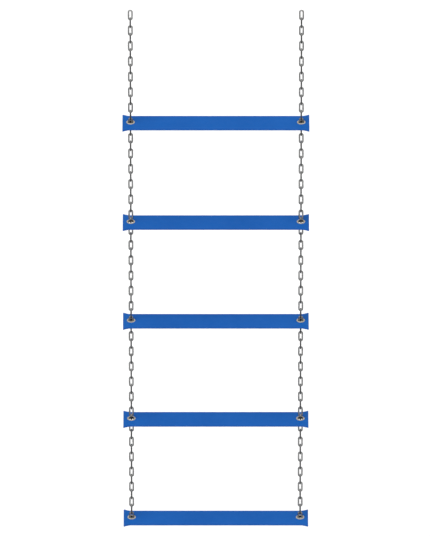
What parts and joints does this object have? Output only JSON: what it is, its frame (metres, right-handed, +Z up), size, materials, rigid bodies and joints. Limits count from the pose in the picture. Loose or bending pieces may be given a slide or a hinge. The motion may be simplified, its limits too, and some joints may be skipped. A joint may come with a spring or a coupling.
{
  "type": "escape chain ladder",
  "caption": "Hanging escape ladder: pressed blue treads carried on two welded-link chains that pass through eyelets and are pinned under each tread.",
  "frame": {"origin": "inside of the left top link's upper crown, where its hook bears", "axes": "+Z up, +X to the right along the treads, +Y away from the climber, towards the wall"},
  "size_m": [0.482, 0.0782, 1.5558],
  "materials": {
    "tread_paint": "satin blue powder coat on pressed steel",
    "chain_steel": "zinc-plated welded steel wire, dulled",
    "eyelet_metal": "warm grey plated steel",
    "washer_zinc": "zinc-plated steel",
    "pin_zinc": "zinc-plated steel",
    "split_pin_steel": "bright steel wire"
  },
  "bodies": {
    "hang_points": {"top_link_left": "chain_steel", "top_link_right": "chain_steel"},
    "swing_left": {"swing_link_left": "chain_steel"},
    "sway_left": {"chain_left_1_upper": "chain_steel"},
    "chain_left_1_lower": {"chain_left_1_lower": "chain_steel"},
    "chain_left_2_upper": {"chain_left_2_upper": "chain_steel"},
    "chain_left_2_lower": {"chain_left_2_lower": "chain_steel"},
    "chain_left_3_upper": {"chain_left_3_upper": "chain_steel"},
    "chain_left_3_lower": {"chain_left_3_lower": "chain_steel"},
    "chain_left_4_upper": {"chain_left_4_upper": "chain_steel"},
    "chain_left_4_lower": {"chain_left_4_lower": "chain_steel"},
    "chain_left_5_upper": {"chain_left_5_upper": "chain_steel"},
    "chain_left_5_lower": {"chain_left_5_lower": "chain_steel"},
    "hanger_left": {"hanger_link_left": "chain_steel"},
    "swing_right": {"swing_link_right": "chain_steel"},
    "sway_right": {"chain_right_1_upper": "chain_steel"},
    "chain_right_1_lower": {"chain_right_1_lower": "chain_steel"},
    "chain_right_2_upper": {"chain_right_2_upper": "chain_steel"},
    "chain_right_2_lower": {"chain_right_2_lower": "chain_steel"},
    "chain_right_3_upper": {"chain_right_3_upper": "chain_steel"},
    "chain_right_3_lower": {"chain_right_3_lower": "chain_steel"},
    "chain_right_4_upper": {"chain_right_4_upper": "chain_steel"},
    "chain_right_4_lower": {"chain_right_4_lower": "chain_steel"},
    "chain_right_5_upper": {"chain_right_5_upper": "chain_steel"},
    "chain_right_5_lower": {"chain_right_5_lower": "chain_steel"},
    "hanger_right": {"hanger_link_right": "chain_steel"},
    "rung_1": {"tread_1": "tread_paint", "eyelets_1": "eyelet_metal", "under_washers_1": "washer_zinc", "seat_links_1": "chain_steel", "support_pins_1": "pin_zinc", "split_pins_1": "split_pin_steel"},
    "rung_2": {"tread_2": "tread_paint", "eyelets_2": "eyelet_metal", "under_washers_2": "washer_zinc", "seat_links_2": "chain_steel", "support_pins_2": "pin_zinc", "split_pins_2": "split_pin_steel"},
    "rung_3": {"tread_3": "tread_paint", "eyelets_3": "eyelet_metal", "under_washers_3": "washer_zinc", "seat_links_3": "chain_steel", "support_pins_3": "pin_zinc", "split_pins_3": "split_pin_steel"},
    "rung_4": {"tread_4": "tread_paint", "eyelets_4": "eyelet_metal", "under_washers_4": "washer_zinc", "seat_links_4": "chain_steel", "support_pins_4": "pin_zinc", "split_pins_4": "split_pin_steel"},
    "rung_5": {"tread_5": "tread_paint", "eyelets_5": "eyelet_metal", "under_washers_5": "washer_zinc", "seat_links_5": "chain_steel", "support_pins_5": "pin_zinc", "split_pins_5": "split_pin_steel"}
  },
  "joints": [
    {"name": "swing", "type": "hinge", "parent": "hang_points", "child": "swing_left", "pos_m": [0, 0, -0.02524], "axis": [1, 0, 0], "range_deg": [-40, 40]},
    {"name": "sway", "type": "hinge", "parent": "swing_left", "child": "sway_left", "pos_m": [0, 0, -0.04834], "axis": [0, 1, 0], "range_deg": [-30, 30]},
    {"name": "fold_1", "type": "hinge", "parent": "sway_left", "child": "chain_left_1_lower", "pos_m": [0, 0, -0.16384], "axis": [1, 0, 0], "range_deg": [-75, 75]},
    {"name": "hanger_left_level", "type": "hinge", "parent": "chain_left_1_lower", "child": "hanger_left", "pos_m": [0, 0, -0.30244], "axis": [1, 0, 0], "range_deg": [-75, 75]},
    {"name": "rung_1_level", "type": "hinge", "parent": "hanger_left", "child": "rung_1", "pos_m": [0, 0, -0.32554], "axis": [0, 1, 0], "range_deg": [-30, 30]},
    {"name": "fold_2_top_left", "type": "hinge", "parent": "rung_1", "child": "chain_left_2_upper", "pos_m": [0, 0, -0.3676], "axis": [1, 0, 0], "range_deg": [-75, 75]},
    {"name": "fold_2", "type": "hinge", "parent": "chain_left_2_upper", "child": "chain_left_2_lower", "pos_m": [0, 0, -0.5062], "axis": [1, 0, 0], "range_deg": [-150, 150]},
    {"name": "rung_2_level", "type": "hinge", "parent": "chain_left_2_lower", "child": "rung_2", "pos_m": [0, 0, -0.62584], "axis": [1, 0, 0], "range_deg": [-75, 75]},
    {"name": "fold_3_top_left", "type": "hinge", "parent": "rung_2", "child": "chain_left_3_upper", "pos_m": [0, 0, -0.6448], "axis": [1, 0, 0], "range_deg": [-75, 75]},
    {"name": "fold_3", "type": "hinge", "parent": "chain_left_3_upper", "child": "chain_left_3_lower", "pos_m": [0, 0, -0.7834], "axis": [1, 0, 0], "range_deg": [-150, 150]},
    {"name": "rung_3_level", "type": "hinge", "parent": "chain_left_3_lower", "child": "rung_3", "pos_m": [0, 0, -0.922], "axis": [1, 0, 0], "range_deg": [-75, 75]},
    {"name": "fold_4_top_left", "type": "hinge", "parent": "rung_3", "child": "chain_left_4_upper", "pos_m": [0, 0, -0.9682], "axis": [1, 0, 0], "range_deg": [-75, 75]},
    {"name": "fold_4", "type": "hinge", "parent": "chain_left_4_upper", "child": "chain_left_4_lower", "pos_m": [0, 0, -1.1068], "axis": [1, 0, 0], "range_deg": [-150, 150]},
    {"name": "rung_4_level", "type": "hinge", "parent": "chain_left_4_lower", "child": "rung_4", "pos_m": [0, 0, -1.22644], "axis": [1, 0, 0], "range_deg": [-75, 75]},
    {"name": "fold_5_top_left", "type": "hinge", "parent": "rung_4", "child": "chain_left_5_upper", "pos_m": [0, 0, -1.2454], "axis": [1, 0, 0], "range_deg": [-75, 75]},
    {"name": "fold_5", "type": "hinge", "parent": "chain_left_5_upper", "child": "chain_left_5_lower", "pos_m": [0, 0, -1.384], "axis": [1, 0, 0], "range_deg": [-150, 150]},
    {"name": "rung_5_level", "type": "hinge", "parent": "chain_left_5_lower", "child": "rung_5", "pos_m": [0, 0, -1.5226], "axis": [1, 0, 0], "range_deg": [-75, 75]},
    {"name": "swing_right", "type": "hinge", "parent": "hang_points", "child": "swing_right", "pos_m": [0.44, 0, -0.02524], "axis": [1, 0, 0], "range_deg": [-40, 40]},
    {"name": "sway_right", "type": "hinge", "parent": "swing_right", "child": "sway_right", "pos_m": [0.44, 0, -0.04834], "axis": [0, 1, 0], "range_deg": [-30, 30]},
    {"name": "fold_1_right", "type": "hinge", "parent": "sway_right", "child": "chain_right_1_lower", "pos_m": [0.44, 0, -0.16384], "axis": [1, 0, 0], "range_deg": [-75, 75]},
    {"name": "hanger_right_level", "type": "hinge", "parent": "chain_right_1_lower", "child": "hanger_right", "pos_m": [0.44, 0, -0.30244], "axis": [1, 0, 0], "range_deg": [-75, 75]},
    {"name": "fold_2_top_right", "type": "hinge", "parent": "rung_1", "child": "chain_right_2_upper", "pos_m": [0.44, 0, -0.3676], "axis": [1, 0, 0], "range_deg": [-75, 75]},
    {"name": "fold_2_right", "type": "hinge", "parent": "chain_right_2_upper", "child": "chain_right_2_lower", "pos_m": [0.44, 0, -0.5062], "axis": [1, 0, 0], "range_deg": [-150, 150]},
    {"name": "fold_3_top_right", "type": "hinge", "parent": "rung_2", "child": "chain_right_3_upper", "pos_m": [0.44, 0, -0.6448], "axis": [1, 0, 0], "range_deg": [-75, 75]},
    {"name": "fold_3_right", "type": "hinge", "parent": "chain_right_3_upper", "child": "chain_right_3_lower", "pos_m": [0.44, 0, -0.7834], "axis": [1, 0, 0], "range_deg": [-150, 150]},
    {"name": "fold_4_top_right", "type": "hinge", "parent": "rung_3", "child": "chain_right_4_upper", "pos_m": [0.44, 0, -0.9682], "axis": [1, 0, 0], "range_deg": [-75, 75]},
    {"name": "fold_4_right", "type": "hinge", "parent": "chain_right_4_upper", "child": "chain_right_4_lower", "pos_m": [0.44, 0, -1.1068], "axis": [1, 0, 0], "range_deg": [-150, 150]},
    {"name": "fold_5_top_right", "type": "hinge", "parent": "rung_4", "child": "chain_right_5_upper", "pos_m": [0.44, 0, -1.2454], "axis": [1, 0, 0], "range_deg": [-75, 75]},
    {"name": "fold_5_right", "type": "hinge", "parent": "chain_right_5_upper", "child": "chain_right_5_lower", "pos_m": [0.44, 0, -1.384], "axis": [1, 0, 0], "range_deg": [-150, 150]}
  ],
  "couplings": [
    {"joint": "hanger_left_level", "follows": "fold_1", "ratio": -1},
    {"joint": "rung_1_level", "follows": "sway", "ratio": -1},
    {"joint": "fold_2_top_left", "follows": "fold_2", "ratio": -0.5},
    {"joint": "rung_2_level", "follows": "fold_2", "ratio": -0.5},
    {"joint": "fold_3_top_left", "follows": "fold_3", "ratio": -0.5},
    {"joint": "rung_3_level", "follows": "fold_3", "ratio": -0.5},
    {"joint": "fold_4_top_left", "follows": "fold_4", "ratio": -0.5},
    {"joint": "rung_4_level", "follows": "fold_4", "ratio": -0.5},
    {"joint": "fold_5_top_left", "follows": "fold_5", "ratio": -0.5},
    {"joint": "rung_5_level", "follows": "fold_5", "ratio": -0.5},
    {"joint": "swing_right", "follows": "swing", "ratio": 1},
    {"joint": "sway_right", "follows": "sway", "ratio": 1},
    {"joint": "fold_1_right", "follows": "fold_1", "ratio": 1},
    {"joint": "hanger_right_level", "follows": "fold_1", "ratio": -1},
    {"joint": "fold_2_top_right", "follows": "fold_2", "ratio": -0.5},
    {"joint": "fold_2_right", "follows": "fold_2", "ratio": 1},
    {"joint": "fold_3_top_right", "follows": "fold_3", "ratio": -0.5},
    {"joint": "fold_3_right", "follows": "fold_3", "ratio": 1},
    {"joint": "fold_4_top_right", "follows": "fold_4", "ratio": -0.5},
    {"joint": "fold_4_right", "follows": "fold_4", "ratio": 1},
    {"joint": "fold_5_top_right", "follows": "fold_5", "ratio": -0.5},
    {"joint": "fold_5_right", "follows": "fold_5", "ratio": 1}
  ]
}
